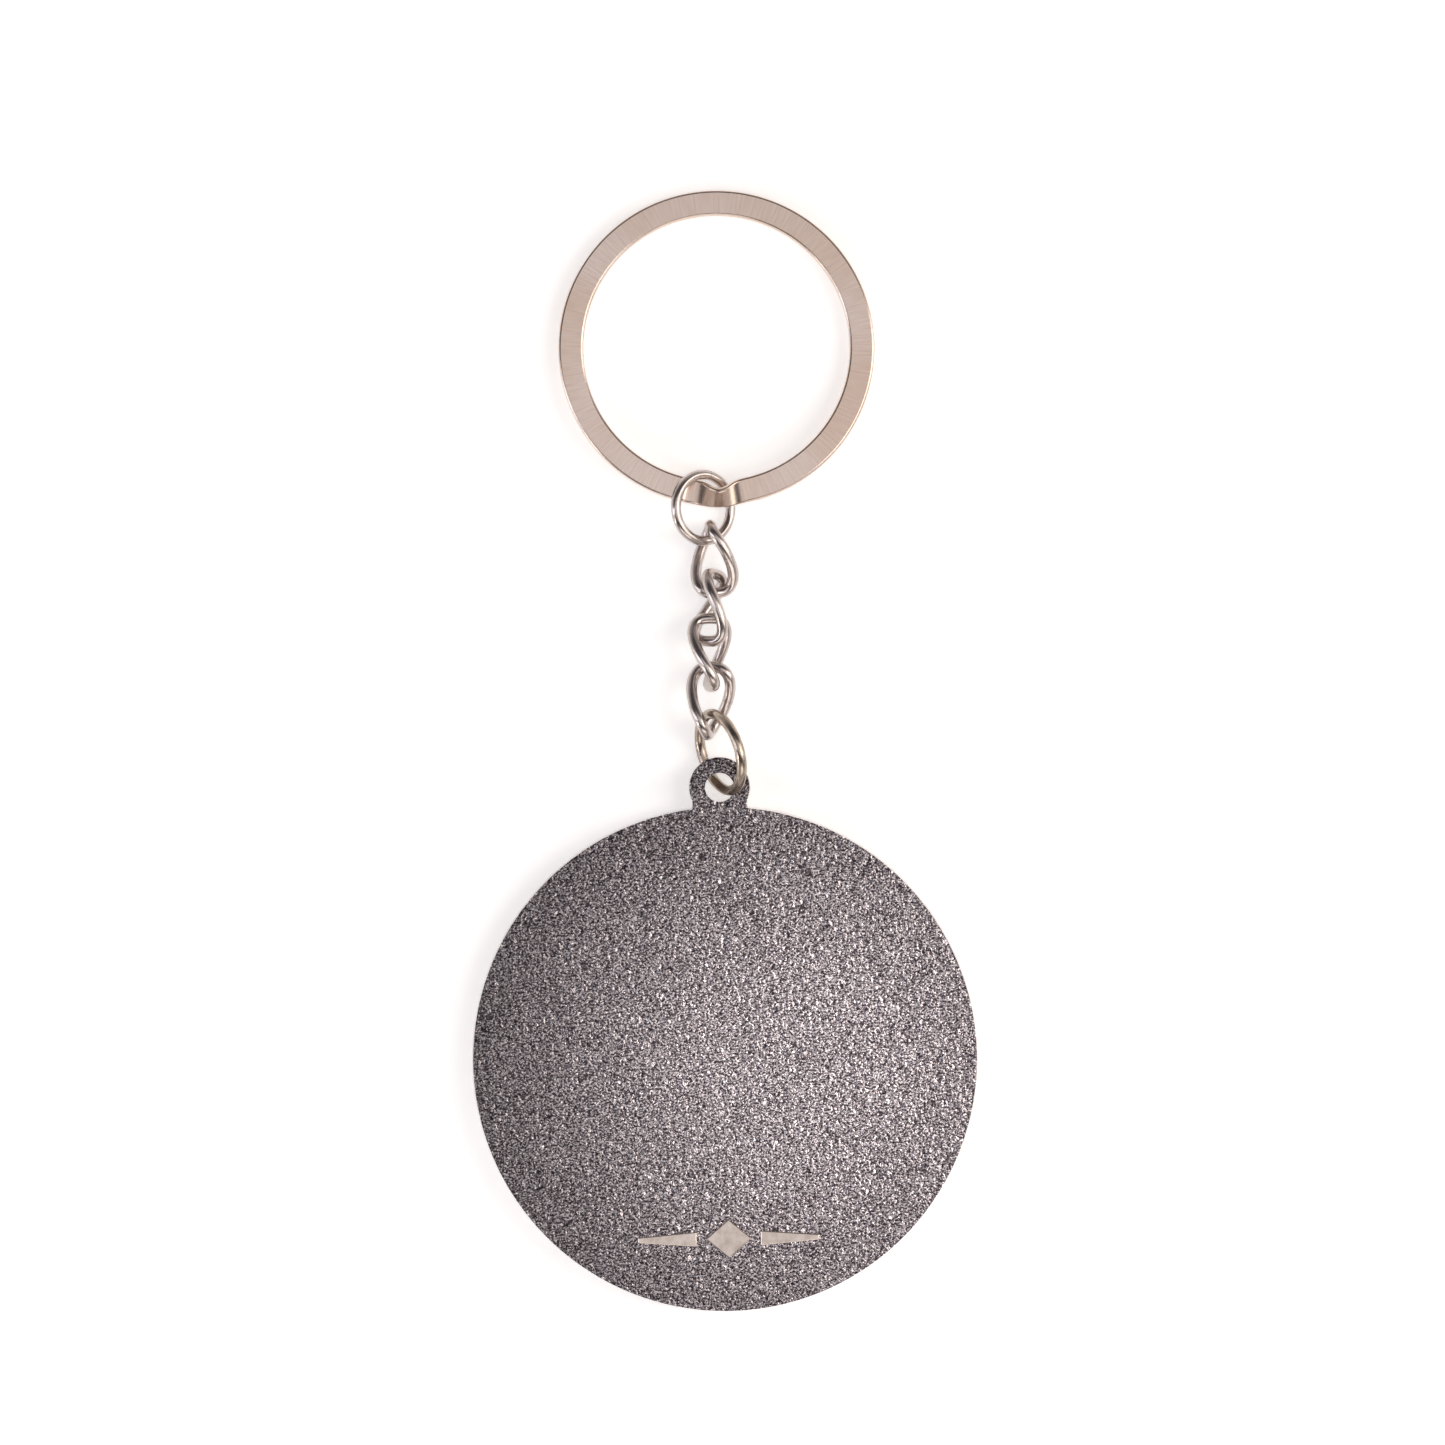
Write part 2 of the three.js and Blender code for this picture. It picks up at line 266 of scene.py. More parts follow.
def plated_wire(name, bright, dull):
    material, tree, shader = new_material(name, Metallic=1.0)
    place = place_in_mm(tree)
    cloud = node(
        tree, "ShaderNodeTexNoise", {"Scale": CLOUDS_PER_MM, "Detail": 3.0}, {"Vector": place}
    )
    tone = node(
        tree,
        "ShaderNodeValToRGB",
        links={"Fac": cloud.outputs["Fac"]},
        stops=[(0.35, linear(dull)), (0.65, linear(bright))],
    )
    tree.links.new(tone.outputs["Color"], shader.inputs["Base Color"])
    gloss = node(
        tree,
        "ShaderNodeValToRGB",
        links={"Fac": cloud.outputs["Fac"]},
        stops=[(0.3, grey(0.27)), (0.7, grey(0.19))],
    )
    tree.links.new(gloss.outputs["Color"], shader.inputs["Roughness"])
    dents = node(
        tree, "ShaderNodeTexNoise", {"Scale": DENTS_PER_MM, "Detail": 4.0}, {"Vector": place}
    )
    bump = node(
        tree,
        "ShaderNodeBump",
        {"Strength": 0.12, "Distance": DENT_DEPTH * MM},
        {"Height": dents.outputs["Fac"]},
    )
    tree.links.new(bump.outputs["Normal"], shader.inputs["Normal"])
    return material


wire_nickel = plated_wire("nickel_plated_drawn_wire", "c9bfbb", "b9afaa")
warm_nickel = plated_wire("nickel_plated_wire_thin_warm_plate", "bcafa2", "9a8d80")
print("wire finishes:", wire_nickel.name, "and", warm_nickel.name)

# %% [markdown]
# ### Nickel-plated rolled strip
#
# The flat faces were linished across the strip before it was wound, then tumbled to a
# satin. So faint marks run across it, and the plate has a slightly pink cast. The UV map
# made with the strip holds millimetres along it and across it, which keeps the marks
# square to the strip all the way round. Real marks are finer than these. They are drawn
# as coarse as they need to be to show.

# %% Strip
MARK_SPACING = 0.22
MARK_LENGTH = 4.0
MARK_DEPTH = 0.01
CAST_PATCHES_PER_MM = 0.12
band_nickel, tree, shader = new_material("nickel_plated_tumbled_strip", Metallic=1.0)
place = place_in_mm(tree)
on_strip = node(tree, "ShaderNodeUVMap", {"uv_map": "strip_mm"})
across_strip = node(
    tree,
    "ShaderNodeMapping",
    {"Scale": (1 / MARK_SPACING, 1 / MARK_LENGTH, 1)},
    {"Vector": on_strip.outputs["UV"]},
)
marks = node(
    tree,
    "ShaderNodeTexNoise",
    {"Scale": 1.0, "Detail": 3.0},
    {"Vector": across_strip.outputs["Vector"]},
)
cloud = node(
    tree, "ShaderNodeTexNoise", {"Scale": CAST_PATCHES_PER_MM, "Detail": 2.0}, {"Vector": place}
)
tone = node(
    tree,
    "ShaderNodeValToRGB",
    links={"Fac": cloud.outputs["Fac"]},
    stops=[(0.35, linear("d9c5b6")), (0.65, linear("e0d1c7"))],
)
tint = node(
    tree,
    "ShaderNodeValToRGB",
    links={"Fac": marks.outputs["Fac"]},
    stops=[(0.35, linear("faf8f7")), (0.62, linear("ffffff"))],
)
marked = node(
    tree,
    "ShaderNodeVectorMath",
    {"operation": "MULTIPLY"},
    {0: tone.outputs["Color"], 1: tint.outputs["Color"]},
)
tree.links.new(marked.outputs["Vector"], shader.inputs["Base Color"])
gloss = node(
    tree,
    "ShaderNodeValToRGB",
    links={"Fac": marks.outputs["Fac"]},
    stops=[(0.3, grey(0.27)), (0.7, grey(0.23))],
)
tree.links.new(gloss.outputs["Color"], shader.inputs["Roughness"])
bump = node(
    tree,
    "ShaderNodeBump",
    {"Strength": 0.035, "Distance": MARK_DEPTH * MM},
    {"Height": marks.outputs["Fac"]},
)
tree.links.new(bump.outputs["Normal"], shader.inputs["Normal"])
print("marks every", MARK_SPACING, "mm across the strip")

# %% [markdown]
# ### Plated zinc casting, textured
#
# The die was sand-textured, so the back is a fine hammered skin. The relief itself is in
# the mesh. The shader adds the grain too fine for it, with painted shade in the hollows and
# painted highlights on the tops. A painted pool of light brightens the middle, and painted
# shade darkens the base colour towards the edge, by the distance from the lit spot.

# %% Textured casting
GRAIN = 0.20
GRAIN_DEPTH = 0.08
# Painted light: where the painted pool of light on the base colour sits, and how far out its
# painted shade reaches.
PAINTED_LIGHT_SPOT = (7.0, -2.0, DISC_THICKNESS)
PAINTED_LIGHT_RADIUS = 9.0
PAINTED_SHADE_RADIUS = 33.5
cast_back, tree, shader = new_material("nickel_plated_zinc_sand_textured", Metallic=1.0)
place = place_in_mm(tree)
grain = node(
    tree, "ShaderNodeTexNoise", {"Scale": 1 / GRAIN, "Detail": 2.0}, {"Vector": place}
)
# Painted shade and highlight: the ramp darkens the hollows and lightens the tops that the same
# noise raises in the bump.
tone = node(
    tree,
    "ShaderNodeValToRGB",
    links={"Fac": grain.outputs["Fac"]},
    stops=[(0.38, linear("443d43")), (0.5, linear("a89ea2")), (0.61, linear("fbf4f5"))],
)
# Painted light and shade: the base colour is scaled from bright at the lit spot down to dark at
# the edge.
from_painted_light = node(
    tree,
    "ShaderNodeVectorMath",
    {"operation": "DISTANCE", 1: PAINTED_LIGHT_SPOT},
    {"Vector": place},
)
painted_light_falloff = node(
    tree,
    "ShaderNodeMapRange",
    {"From Min": PAINTED_LIGHT_RADIUS, "From Max": PAINTED_SHADE_RADIUS, "To Min": 1.06, "To Max": 0.38},
    {"Value": from_painted_light.outputs["Value"]},
)
shaded = node(
    tree,
    "ShaderNodeVectorMath",
    {"operation": "SCALE"},
    {0: tone.outputs["Color"], "Scale": painted_light_falloff.outputs["Result"]},
)
tree.links.new(shaded.outputs["Vector"], shader.inputs["Base Color"])
gloss = node(
    tree,
    "ShaderNodeValToRGB",
    links={"Fac": grain.outputs["Fac"]},
    stops=[(0.3, grey(0.26)), (0.7, grey(0.12))],
)
tree.links.new(gloss.outputs["Color"], shader.inputs["Roughness"])
bump = node(
    tree,
    "ShaderNodeBump",
    {"Strength": 0.9, "Distance": GRAIN_DEPTH * MM},
    {"Height": grain.outputs["Fac"]},
)
tree.links.new(bump.outputs["Normal"], shader.inputs["Normal"])
print("casting grain", GRAIN, "mm")

# %% [markdown]
# ### Plated zinc casting, buffed
#
# The edge, the front's rim and the ornament stand proud, so the buffing wheel made them
# bright. The wheel presses hardest on the ornament and leaves a thinner, warmer plate
# there. One function makes both finishes from their duller and brighter tones.

# %% Buffed casting
SWIRLS_PER_MM = 1.4
SWIRL_DEPTH = 0.01


def buffed_casting(name, dull, bright):
    material, tree, shader = new_material(name, Metallic=1.0)
    place = place_in_mm(tree)
    swirls = node(
        tree, "ShaderNodeTexNoise", {"Scale": SWIRLS_PER_MM, "Detail": 5.0}, {"Vector": place}
    )
    tone = node(
        tree,
        "ShaderNodeValToRGB",
        links={"Fac": swirls.outputs["Fac"]},
        stops=[(0.3, linear(dull)), (0.7, linear(bright))],
    )
    tree.links.new(tone.outputs["Color"], shader.inputs["Base Color"])
    gloss = node(
        tree,
        "ShaderNodeValToRGB",
        links={"Fac": swirls.outputs["Fac"]},
        stops=[(0.3, grey(0.24)), (0.7, grey(0.12))],
    )
    tree.links.new(gloss.outputs["Color"], shader.inputs["Roughness"])
    bump = node(
        tree,
        "ShaderNodeBump",
        {"Strength": 0.3, "Distance": SWIRL_DEPTH * MM},
        {"Height": swirls.outputs["Fac"]},
    )
    tree.links.new(bump.outputs["Normal"], shader.inputs["Normal"])
    return material


cast_buffed = buffed_casting("nickel_plated_zinc_buffed", "c9c0be", "e2dbd8")
ornament_buffed = buffed_casting("nickel_plated_zinc_buffed_thin", "c4b7ad", "ddd3ca")
print("buffed finishes:", cast_buffed.name, "and", ornament_buffed.name)

# %% [markdown]
# ### Hard enamel
#
# Coloured enamel is cured in the pockets, ground level with the metal and polished like
# glass. The colour is slightly cloudy, and grinding leaves very faint waves. A clear coat
# over a smooth plastic-like base gives the depth. The two fillings are plain slabs, so
# they keep their CAD shape and only their finish changes.

# %% Enamel
ENAMEL_CLOUDS_PER_MM = 0.35
WAVES_PER_MM = 1.2
WAVE_DEPTH = 0.02


def hard_enamel(name, light, deep):
    material, tree, shader = new_material(
        name, Roughness=0.12, IOR=1.52, Coat_Weight=0.6, Coat_Roughness=0.04
    )
    place = place_in_mm(tree)
    cloud = node(
        tree,
        "ShaderNodeTexNoise",
        {"Scale": ENAMEL_CLOUDS_PER_MM, "Detail": 4.0},
        {"Vector": place},
    )
    tone = node(
        tree,
        "ShaderNodeValToRGB",
        links={"Fac": cloud.outputs["Fac"]},
        stops=[(0.35, linear(deep)), (0.65, linear(light))],
    )
    tree.links.new(tone.outputs["Color"], shader.inputs["Base Color"])
    waves = node(
        tree, "ShaderNodeTexNoise", {"Scale": WAVES_PER_MM, "Detail": 1.0}, {"Vector": place}
    )
    bump = node(
        tree,
        "ShaderNodeBump",
        {"Strength": 0.15, "Distance": WAVE_DEPTH * MM},
        {"Height": waves.outputs["Fac"]},
    )
    tree.links.new(bump.outputs["Normal"], shader.inputs["Normal"])
    return material


navy_enamel = hard_enamel("hard_enamel_navy", "2a3a5c", "22304e")
cream_enamel = hard_enamel("hard_enamel_cream", "e0dac9", "d6cfbc")
for name, enamel in (("enamel_border", navy_enamel), ("enamel_field", cream_enamel)):
    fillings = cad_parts[name].data.materials
    fillings.clear()
    fillings.append(enamel)
print("enamel fillings keep their CAD shape")

# %% [markdown]
# ## Finishing a piece
#
# Every piece is built in millimetres. One function turns it into a Blender object in
# metres, shades it smooth apart from its sharp edges, parents it to the empty of the body
# it rides on, and hides the CAD node it stands for.


# %% From bmesh to a finished piece
MUCH_WIDER = 3
NEARLY_FLAT = math.radians(5)


def finish_piece(bm, name, body, material, replaced, sharp=50, even=False):
    """sharp is the fold, in degrees, that stays crisp, and so does the border between
    two finishes. even also keeps a broad flat face flat where it meets a rounding."""
    bmesh.ops.scale(bm, vec=(MM,) * 3, verts=bm.verts)
    for face in bm.faces:
        face.smooth = True
    for edge in bm.edges:
        finishes = {face.material_index for face in edge.link_faces}
        folded = edge.calc_face_angle(math.pi) >= math.radians(sharp)
        edge.smooth = not folded and len(finishes) == 1
        if even and edge.smooth:
            small, large = sorted(face.calc_area() for face in edge.link_faces)
            bent = edge.calc_face_angle() > NEARLY_FLAT
            edge.smooth = not (bent and large > MUCH_WIDER * small)
    mesh = bpy.data.meshes.new(name)
    bm.to_mesh(mesh)
    bm.free()
    mesh.materials.append(material)
    piece = bpy.data.objects.new(name, mesh)
    bpy.context.collection.objects.link(piece)
    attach(piece, body)
    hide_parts(replaced)
    return piece


# %% [markdown]
# ## Wire loops
#
# A jump ring is a circle of round wire with a butt joint. A chain link starts the same
# way, then is pressed long and twisted so that it lies flat. So each loop is spun as a
# ring with a hairline gap, and its vertices are then carried onto the loop's own centre
# line. A curve with a bevel would be quicker, but its twist is hard to control.


# %% The loop's centre line
class Loop:
    """A centre line with its length along Y and its width along X. It is twisted about Y,
    in degrees over its length. A fullness above 2 makes its shoulders squarer."""

    def __init__(self, length, width, twist=0.0, fullness=2.0):
        self.length, self.width = length, width
        self.twist, self.fullness = math.radians(twist), fullness

    def twist_at(self, y):
        return self.twist * y / self.length

    def point(self, angle):
        across, along = abs(math.cos(angle)), abs(math.sin(angle))
        reach = (across**self.fullness + along**self.fullness) ** (-1 / self.fullness)
        x = self.width / 2 * math.cos(angle) * reach
        y = self.length / 2 * math.sin(angle) * reach
        turn = self.twist_at(y)
        return Vector((x * math.cos(turn), y, -x * math.sin(turn)))

    def section(self, angle):
        """The point, and the directions outwards and over the wire."""
        step = 1e-4
        along = (self.point(angle + step) - self.point(angle - step)).normalized()
        point = self.point(angle)
        turn = self.twist_at(point.y)
        face = Vector((math.sin(turn), 0, math.cos(turn)))
        outward = along.cross(face).normalized()
        return point, outward, outward.cross(along)


# %% Spin a ring and carry it onto the centre line
WIRE_SIDES = 28
LOOP_STEPS = 220
JOINT_GAP = 0.03
# The CAD wire has twelve flat sides. A round wire of the same section is this much thinner
# than its corners, so loops that rest on each other don't cut into each other.
SAME_SECTION = 0.977


def wire_loop(name, loop, wire, pose, material, joint_at):
    """pose is (turn, lift, roll) in degrees: about Z, about X, and about the loop's own
    length. joint_at is where the butt joint sits, in degrees round the loop."""
    turn, lift, roll = [math.radians(angle) for angle in pose]
    gap = JOINT_GAP / (loop.length / 2)
    upright = Euler((math.pi / 2, 0, 0)).to_matrix()
    bm = bmesh.new()
    bmesh.ops.create_circle(bm, segments=WIRE_SIDES, radius=0.5)
    bmesh.ops.rotate(bm, cent=(0, 0, 0), matrix=upright, verts=bm.verts)
    bmesh.ops.translate(bm, vec=(1, 0, 0), verts=bm.verts)
    bmesh.ops.spin(
        bm,
        geom=bm.verts[:] + bm.edges[:],
        cent=(0, 0, 0),
        axis=(0, 0, 1),
        angle=2 * math.pi - gap,
        steps=LOOP_STEPS,
        use_merge=False,
        use_duplicate=False,
    )
    ends = [edge for edge in bm.edges if edge.is_boundary]
    bmesh.ops.holes_fill(bm, edges=ends, sides=0)
    start = math.radians(joint_at)
    for vert in bm.verts:
        x, y, z = vert.co
        angle = math.atan2(y, x) % (2 * math.pi)
        point, outward, over = loop.section(start + angle)
        out = (math.hypot(x, y) - 1) * wire * SAME_SECTION
        vert.co = point + outward * out + over * (z * wire * SAME_SECTION)
    lying = Euler((lift, roll, turn), "YXZ").to_matrix()
    bmesh.ops.rotate(bm, cent=(0, 0, 0), matrix=lying, verts=bm.verts)
    low = Vector(min(v.co[i] for v in bm.verts) for i in range(3))
    high = Vector(max(v.co[i] for v in bm.verts) for i in range(3))
    cad_low, cad_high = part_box(name)
    cad_middle = (cad_low + cad_high) / 2 / MM
    bmesh.ops.translate(bm, vec=cad_middle - (low + high) / 2, verts=bm.verts)
    bmesh.ops.recalc_face_normals(bm, faces=bm.faces)
    finish_piece(bm, name + "_wire", name, material, name)
    print(name, "spans", [round(v, 2) for v in (high - low)], "mm")


# %% The two jump rings and the four links
BOTTOM_RING_DIAMETER = 9
BOTTOM_RING_WIRE = 1.07
TOP_RING_DIAMETER = 7.7
TOP_RING_WIRE = 1.03
LINK_LENGTH = 8
LINK_WIDTH = 5.15
LINK_WIRE = 1.15
LINK_TWIST = -106
LINK_FULLNESS = 3


def circle(diameter, wire):
    return Loop(diameter - wire, diameter - wire)


bottom_loop = circle(BOTTOM_RING_DIAMETER, BOTTOM_RING_WIRE)
top_loop = circle(TOP_RING_DIAMETER, TOP_RING_WIRE)
link_loop = Loop(LINK_LENGTH - LINK_WIRE, LINK_WIDTH - LINK_WIRE, LINK_TWIST, LINK_FULLNESS)
LOOPS = {
    # name: (centre line, wire, (turn, lift, roll), finish, place of the butt joint)
    "bottom_jump_ring": (bottom_loop, BOTTOM_RING_WIRE, (7, 15.5, -61), warm_nickel, 200),
    "chain_link_4": (link_loop, LINK_WIRE, (-4.5, 2, -150), wire_nickel, 178),
    "chain_link_3": (link_loop, LINK_WIRE, (1, 0, -124), wire_nickel, 2),
    "chain_link_2": (link_loop, LINK_WIRE, (-8, -8, -76), wire_nickel, 178),
    "chain_link_1": (link_loop, LINK_WIRE, (4, 1.5, -39), wire_nickel, 2),
    "top_jump_ring": (top_loop, TOP_RING_WIRE, (2.5, 1.5, 35), wire_nickel, 75),
}

for name, (centre_line, wire, pose, material, joint_at) in LOOPS.items():
    wire_loop(name, centre_line, wire, pose, material, joint_at)
print(len(LOOPS), "wire loops from split ring to medallion")

# %% [markdown]
# ## Split ring
#
# One flat strip, wound into two laps that spring together. It steps from the upper lap
# to the lower one between its two cut ends, and rolls up on its outer edge there. So the
# piece starts as a straight bar with softened edges. The bar is cut into short steps
# along its length and carried onto the two laps.

# %% Wind the strip
RING_DIAMETER = 31.75
BAND_WIDTH = 2.5
LAP_THICKNESS = 0.65
LAP_GAP = 0.05
STEP_ANGLE = 24.8
STEP_ROLL = math.radians(-50)
RING_TILT = math.radians(-3.1)
STRIP_STEPS = 900
EDGE_ROUNDING = 0.24
ROUNDING_STEPS = 4
# Winding stretches the bar to its real length, about twice this.
BAR_BEFORE_WINDING = 90

bm = bmesh.new()
bmesh.ops.create_cube(bm, size=1)
bmesh.ops.scale(bm, vec=(BAND_WIDTH, BAR_BEFORE_WINDING, LAP_THICKNESS), verts=bm.verts)
bmesh.ops.bevel(
    bm,
    geom=bm.edges[:],
    offset=EDGE_ROUNDING,
    affect="EDGES",
    segments=ROUNDING_STEPS,
    profile=0.5,
    material=-1,
)
strip_half = max(v.co.y for v in bm.verts)
long_edges = [e for e in bm.edges if abs(e.verts[0].co.y - e.verts[1].co.y) > strip_half]
bmesh.ops.subdivide_edges(bm, edges=long_edges, cuts=STRIP_STEPS, use_grid_fill=True)

middle_radius = (RING_DIAMETER - BAND_WIDTH) / 2
sweep = 720 - STEP_ANGLE
strip_mm = bm.loops.layers.uv.new("strip_mm")
mm_per_length = math.radians(sweep) * middle_radius / (2 * strip_half)
for face in bm.faces:
    for loop in face.loops:
        loop[strip_mm].uv = (loop.vert.co.y * mm_per_length, loop.vert.co.x)
for vert in bm.verts:
    across, along, over = vert.co
    travel = sweep * (0.5 - along / (2 * strip_half))
    before_step = max(-1, min(1, (sweep / 2 - travel) / (STEP_ANGLE / 2)))
    phase = math.pi / 2 * before_step
    roll = STEP_ROLL * math.cos(phase) ** 2
    hold_outer_edge = BAND_WIDTH / 2 * (1 - math.cos(roll))
    radius = middle_radius + hold_outer_edge + across * math.cos(roll) - over * math.sin(roll)
    height = (LAP_THICKNESS + LAP_GAP) / 2 * math.sin(phase)
    height += across * math.sin(roll) + over * math.cos(roll)
    clockwise = math.radians(STEP_ANGLE / 2 + travel)
    vert.co = (-radius * math.sin(clockwise), -radius * math.cos(clockwise), height)
print("strip", round(2 * strip_half * mm_per_length, 1), "mm long in", STRIP_STEPS, "steps")

# %% [markdown]
# The ring leans on the top jump ring's wire, which passes under it. So it is tilted about
# X, and its centre is worked out from the CAD node's box and the thickness of its laps.

# %% Lay it down
low, high = [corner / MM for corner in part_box("split_ring")]
stack = 2 * LAP_THICKNESS + LAP_GAP
lean = abs(RING_TILT)
ring_centre = Vector(
    (
        (low.x + high.x) / 2,
        high.y - RING_DIAMETER / 2 * math.cos(lean) - stack / 2 * math.sin(lean),
        RING_DIAMETER / 2 * math.sin(lean) + stack / 2 * math.cos(lean),
    )
)
bmesh.ops.rotate(bm, cent=(0, 0, 0), matrix=Euler((RING_TILT, 0, 0)).to_matrix(), verts=bm.verts)
bmesh.ops.translate(bm, vec=ring_centre, verts=bm.verts)
bmesh.ops.recalc_face_normals(bm, faces=bm.faces)
finish_piece(
    bm, "split_ring_strip", "split_ring", band_nickel, "split_ring", even=True
)
print("split ring centre", [round(v, 2) for v in ring_centre], "mm")

# %% [markdown]
# ## Medallion
#
# The casting has a textured back, a smooth edge, and a front with two enamel pockets.
# The back's relief is real here, because its glitter comes from thousands of small
# facets. A fine grid is raised by ridged noise, given thickness, and then cut to the
# outline of disc, tab and hole by a Boolean modifier, which keeps the edge crisp.

# %% The outline: disc and tab with its hole
DISC_RADIUS = 25.4
TAB_THICKNESS = 1.3
TAB_Y = DISC_RADIUS + 1.85
TAB_RADIUS = 3.1
HOLE_RADIUS = 1.45
NECK_WIDTH = 5.5
NECK_LENGTH = 4
NECK_FROM_HOLE = 3.2
# A draft is how much a radius shrinks from the tab's underside to the top of the cutter.
DISC_DRAFT = 0.252
TAB_DRAFT = 0.14
# Cutters reach this far past the face they cut through.
CUT_MARGIN = 1


def cylinder(radius_low, radius_high, low, high, centre_y=0.0, segments=256):
    """A closed round solid about Z, in millimetres."""
    bm = bmesh.new()
    bmesh.ops.create_cone(
        bm,
        cap_ends=True,
        segments=segments,
        radius1=radius_low,
        radius2=radius_high,
        depth=high - low,
    )
    bmesh.ops.translate(bm, vec=(0, centre_y, (low + high) / 2), verts=bm.verts)
    return bm


def helper_object(bm, name):
    """An object only used to cut with. It is removed once the cut is made."""
    mesh = bpy.data.meshes.new(name)
    bm.to_mesh(mesh)
    bm.free()
    made = bpy.data.objects.new(name, mesh)
    bpy.context.collection.objects.link(made)
    return made


def carve(target, tool, how):
    """Cuts target with tool, and removes the tool."""
    cut = target.modifiers.new("cut", "BOOLEAN")
    cut.object, cut.operation, cut.solver = tool, how, "EXACT"
    graph = bpy.context.evaluated_depsgraph_get()
    carved = bpy.data.meshes.new_from_object(target.evaluated_get(graph))
    target.modifiers.clear()
    target.data = carved
    bpy.data.objects.remove(tool)


plate_low = DISC_THICKNESS - TAB_THICKNESS
plate_top = DISC_THICKNESS + CUT_MARGIN
outline = helper_object(
    cylinder(DISC_RADIUS, DISC_RADIUS - DISC_DRAFT, plate_low, plate_top, segments=512),
    "outline",
)
tab = helper_object(
    cylinder(TAB_RADIUS, TAB_RADIUS - TAB_DRAFT, plate_low, plate_top, TAB_Y, 128), "tab"
)
carve(outline, tab, "UNION")
bm = bmesh.new()
bmesh.ops.create_cube(bm, size=1)
bmesh.ops.scale(bm, vec=(NECK_WIDTH, NECK_LENGTH, plate_top - plate_low), verts=bm.verts)
neck_middle = (0, TAB_Y - NECK_FROM_HOLE, (plate_top + plate_low) / 2)
bmesh.ops.translate(bm, vec=neck_middle, verts=bm.verts)
carve(outline, helper_object(bm, "neck"), "UNION")
hole = helper_object(
    cylinder(HOLE_RADIUS, HOLE_RADIUS, -CUT_MARGIN, plate_top + CUT_MARGIN, TAB_Y, 96), "hole"
)
carve(outline, hole, "DIFFERENCE")
print("outline has", len(outline.data.polygons), "faces")

# %% [markdown]
# Three grid cells to a ridge show each ridge and still keep the piece light. The ridges
# come from noise folded at its middle. A second, slower noise bends them into the
# worm-like pattern of a sand-textured die, and a finer one breaks up their tops.

# %% The textured skin
CELL = 0.15
RIDGE_SPACING = 0.45
RELIEF = 0.13
BEND_SCALE = 0.5
BEND = 0.8
FINE_SCALE = 2.3
BROAD_SHARE = 0.8
FINE_SHARE = 0.35
PATTERN_SEED = 4
# Unseeded, the vector noise starts from the clock and the ridges differ on every run.
noise.seed_set(PATTERN_SEED)


def relief(x, y):
    """Ridged noise: worm-like tops near 0 with hollows between them, below 0."""
    spot = Vector((x, y, 0)) / RIDGE_SPACING
    bend = noise.noise_vector(spot * BEND_SCALE) * BEND
    broad = 1 - 2 * abs(noise.noise(spot + bend))
    fine = noise.noise(spot * FINE_SCALE)
    return BROAD_SHARE * broad + FINE_SHARE * fine - BROAD_SHARE


# The sheet reaches past the outline on every side, and further where the tab is.
wide, tall, sheet_middle = 2 * DISC_RADIUS + 1, 2 * DISC_RADIUS + 8, 2.6
bm = bmesh.new()
bmesh.ops.create_grid(bm, x_segments=round(wide / CELL), y_segments=round(tall / CELL), size=0.5)
bmesh.ops.scale(bm, vec=(wide, tall, 1), verts=bm.verts)
bmesh.ops.translate(bm, vec=(0, sheet_middle, DISC_THICKNESS), verts=bm.verts)
lowest = 0
for vert in bm.verts:
    depth = relief(vert.co.x, vert.co.y) * RELIEF
    vert.co.z += depth
    lowest = min(lowest, depth)
sides = bmesh.ops.extrude_edge_only(bm, edges=[e for e in bm.edges if e.is_boundary])
skirt = [v for v in sides["geom"] if isinstance(v, bmesh.types.BMVert)]
for vert in skirt:
    vert.co.z = plate_low - CUT_MARGIN / 2
bmesh.ops.holes_fill(bm, edges=[e for e in bm.edges if e.is_boundary], sides=0)
bmesh.ops.recalc_face_normals(bm, faces=bm.faces)
print("relief", round(-lowest, 3), "mm deep on", len(bm.faces), "faces")

# %% [markdown]
# The side of a real casting is smooth, so the faces that the cut makes get the buffed
# finish. They are told from the texture by how steep they are.

# %% Cut the skin to the outline
STEEP = 0.35

skin = helper_object(bm, "skin")
carve(skin, outline, "INTERSECT")
bm = bmesh.new()
bm.from_mesh(skin.data)
bpy.data.objects.remove(skin)
for face in bm.faces:
    face.material_index = 1 if face.normal.z < STEEP else 0
medallion_back = finish_piece(
    bm, "medallion_back", "medallion", cast_back, "medallion", sharp=60
)
medallion_back.data.materials.append(cast_buffed)
print("textured back:", len(medallion_back.data.polygons), "faces")

# %% [markdown]
# The front half is plain turned work: an edge, a rim, a thin line and two pockets for
# the enamel. A profile is drawn once, from the axis outwards, and spun about the axis.
# Its small roundings are where a casting would wear.

# %% Front half
RIM_WIDTH = 1.8
LINE_WIDTH = 0.8
BORDER_WIDTH = 4.6
POCKET_DEPTH = 0.9
LIP = 0.06
FRONT_ROUNDING = 0.25
QUARTER_STEPS = 6
SPIN_STEPS = 256

border_outer = DISC_RADIUS - RIM_WIDTH
border_inner = border_outer - BORDER_WIDTH
field_outer = border_inner - LINE_WIDTH
profile = [(0, POCKET_DEPTH), (field_outer, POCKET_DEPTH)]
profile += [(field_outer, LIP), (field_outer + LIP, 0), (border_inner - LIP, 0)]
profile += [(border_inner, LIP), (border_inner, POCKET_DEPTH), (border_outer, POCKET_DEPTH)]
profile += [(border_outer, LIP), (border_outer + LIP, 0)]
for step in range(QUARTER_STEPS + 1):
    angle = math.pi / 2 * step / QUARTER_STEPS
    radius = DISC_RADIUS - FRONT_ROUNDING * (1 - math.sin(angle))
    profile.append((radius, FRONT_ROUNDING * (1 - math.cos(angle))))
profile += [(DISC_RADIUS, plate_low), (0, plate_low)]

